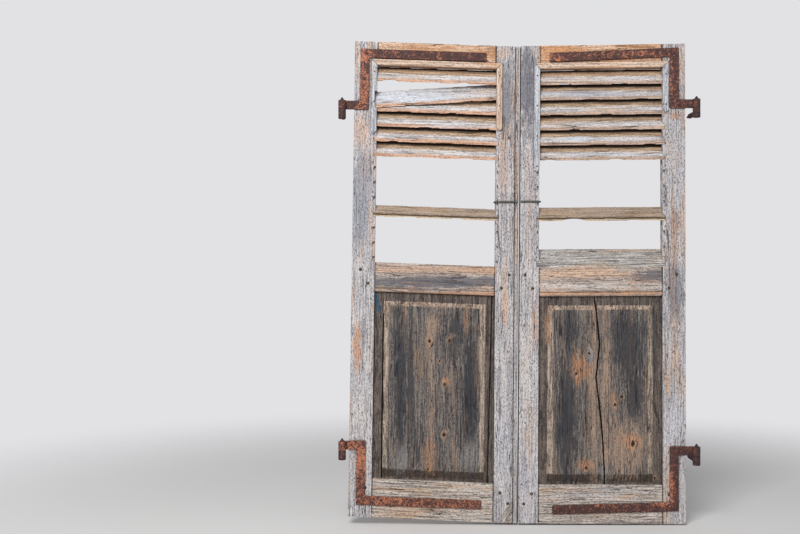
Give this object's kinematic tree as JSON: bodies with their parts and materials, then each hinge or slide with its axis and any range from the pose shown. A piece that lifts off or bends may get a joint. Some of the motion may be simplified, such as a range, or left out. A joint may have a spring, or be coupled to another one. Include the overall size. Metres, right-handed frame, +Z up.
{
  "type": "window shutters",
  "caption": "Pair of old wooden window shutter leaves, louvred above and panelled below, on iron straps and wall pintles, with slats missing.",
  "frame": {"origin": "bottom centre of the whole, below the meeting line", "axes": "+Z up, -Y towards the street, +X to the right as seen from the street"},
  "size_m": [1.1262, 0.1242, 1.5095],
  "materials": {
    "stile_wood": "silver-grey weathered",
    "rail_wood": "weathered tan",
    "panel_wood": "dark grey-brown weathered",
    "slat_wood": "weathered, washed pale",
    "bead_wood": "weathered",
    "peg_wood": "dark end grain",
    "strap_iron": "rusted",
    "pintle_iron": "rusted, dark",
    "nail_iron": "rusted, dark",
    "wire_steel": "dull grey-green"
  },
  "bodies": {
    "wall_pintles": {"left_upper_pintle": "pintle_iron", "left_lower_pintle": "pintle_iron", "right_upper_pintle": "pintle_iron", "right_lower_pintle": "pintle_iron"},
    "left_leaf": {"left_hanging_stile": "stile_wood", "left_meeting_stile": "stile_wood", "left_foot_patch": "stile_wood", "left_top_rail": "rail_wood", "left_mid_rail": "rail_wood", "left_bottom_rail": "rail_wood", "left_panel_wide": "panel_wood", "left_panel_narrow": "panel_wood", "left_head_bead": "bead_wood", "left_hanging_bead": "bead_wood", "left_meeting_bead": "bead_wood", "left_pegs": "peg_wood", "left_bead_nails": "nail_iron", "left_strap_nails": "nail_iron", "left_upper_strap": "strap_iron", "left_lower_strap": "strap_iron", "left_tie_wire": "wire_steel", "left_slat_1": "slat_wood", "left_slat_2": "slat_wood", "left_slat_3": "slat_wood", "left_slat_4": "slat_wood", "left_slat_5": "slat_wood", "left_slat_6": "slat_wood", "left_slat_10": "slat_wood"},
    "right_leaf": {"right_hanging_stile": "stile_wood", "right_meeting_stile": "stile_wood", "right_top_rail": "rail_wood", "right_mid_rail": "rail_wood", "right_bottom_rail": "rail_wood", "right_panel_wide": "panel_wood", "right_panel_narrow": "panel_wood", "right_head_bead": "bead_wood", "right_hanging_bead": "bead_wood", "right_meeting_bead": "bead_wood", "right_pegs": "peg_wood", "right_bead_nails": "nail_iron", "right_strap_nails": "nail_iron", "right_upper_strap": "strap_iron", "right_lower_strap": "strap_iron", "right_tie_wire": "wire_steel", "right_slat_1": "slat_wood", "right_slat_2": "slat_wood", "right_slat_3": "slat_wood", "right_slat_4": "slat_wood", "right_slat_5": "slat_wood", "right_slat_6": "slat_wood", "right_slat_10": "slat_wood", "right_slat_13": "slat_wood"}
  },
  "joints": [
    {"name": "left_leaf_swing", "type": "hinge", "parent": "wall_pintles", "child": "left_leaf", "pos_m": [-0.55105, -0.05, 0], "axis": [0, 0, -1], "range_deg": [0, 180]},
    {"name": "right_leaf_swing", "type": "hinge", "parent": "wall_pintles", "child": "right_leaf", "pos_m": [0.55105, -0.05, 0], "axis": [0, 0, 1], "range_deg": [0, 180]}
  ]
}
